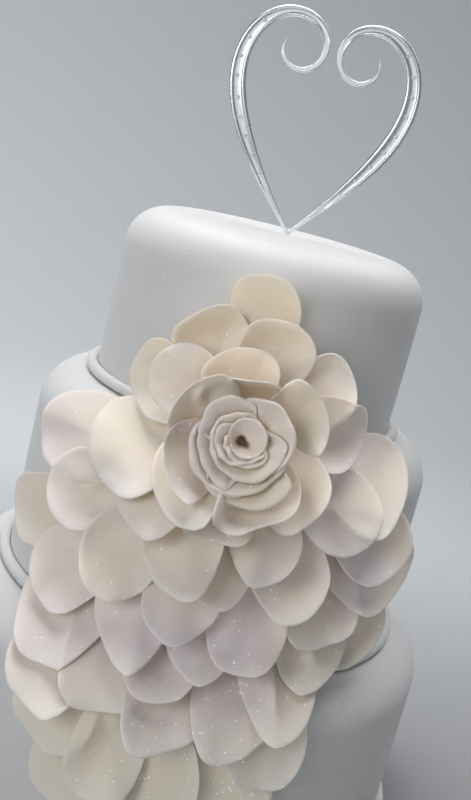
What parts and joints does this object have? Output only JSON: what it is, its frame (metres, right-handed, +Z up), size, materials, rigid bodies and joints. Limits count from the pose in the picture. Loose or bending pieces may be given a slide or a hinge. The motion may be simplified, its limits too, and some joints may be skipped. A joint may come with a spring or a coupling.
{
  "type": "tiered wedding cake",
  "caption": "Three-tier round wedding cake in smooth white fondant, with a sugar rose whose petals cascade down the front and a silver scroll heart on top.",
  "frame": {"origin": "centre of the bottom tier's flat foot, on the surface that the cake stands on", "axes": "+Z up through the middle of the tiers; -Y is the front with the flower; +X is the viewer's right"},
  "size_m": [0.2738, 0.2862, 0.4147],
  "materials": {
    "fondant": "smooth rolled sugar icing with a satin sheen",
    "sugar_petal": "thin ivory sugar paste, matte, with a lustre dust and fine glitter",
    "topper_metal": "polished silver"
  },
  "bodies": {
    "root": {"tier_bottom": "fondant", "rope_bottom": "fondant", "tier_middle": "fondant", "rope_middle": "fondant", "tier_top": "fondant", "rope_top": "fondant", "petal_hem_1": "sugar_petal", "petal_hem_2": "sugar_petal", "petal_hem_3": "sugar_petal", "petal_hem_4": "sugar_petal", "petal_hem_5": "sugar_petal", "petal_hem_6": "sugar_petal", "petal_hem_7": "sugar_petal", "petal_trail_1": "sugar_petal", "petal_trail_2": "sugar_petal", "petal_trail_3": "sugar_petal", "petal_trail_4": "sugar_petal", "petal_trail_5": "sugar_petal", "petal_skirt_1": "sugar_petal", "petal_skirt_2": "sugar_petal", "petal_skirt_3": "sugar_petal", "petal_skirt_4": "sugar_petal", "petal_skirt_5": "sugar_petal", "petal_skirt_6": "sugar_petal", "petal_skirt_7": "sugar_petal", "petal_fall_1": "sugar_petal", "petal_fall_2": "sugar_petal", "petal_fall_3": "sugar_petal", "petal_fall_4": "sugar_petal", "petal_fall_5": "sugar_petal", "petal_fall_6": "sugar_petal", "petal_fall_7": "sugar_petal", "petal_fall_8": "sugar_petal", "petal_spread_1": "sugar_petal", "petal_spread_2": "sugar_petal", "petal_spread_3": "sugar_petal", "petal_spread_4": "sugar_petal", "petal_spread_5": "sugar_petal", "petal_spread_6": "sugar_petal", "petal_spread_7": "sugar_petal", "petal_ring_1": "sugar_petal", "petal_ring_2": "sugar_petal", "petal_ring_3": "sugar_petal", "petal_ring_4": "sugar_petal", "petal_ring_5": "sugar_petal", "petal_ring_6": "sugar_petal", "petal_ring_7": "sugar_petal", "petal_ring_8": "sugar_petal", "petal_collar_1": "sugar_petal", "petal_collar_2": "sugar_petal", "petal_collar_3": "sugar_petal", "petal_collar_4": "sugar_petal", "petal_cup_1": "sugar_petal", "petal_cup_2": "sugar_petal", "petal_cup_3": "sugar_petal", "petal_cup_4": "sugar_petal", "petal_cup_5": "sugar_petal", "rose_bud": "sugar_petal", "rose_wrap": "sugar_petal", "topper": "topper_metal"}
  },
  "joints": []
}
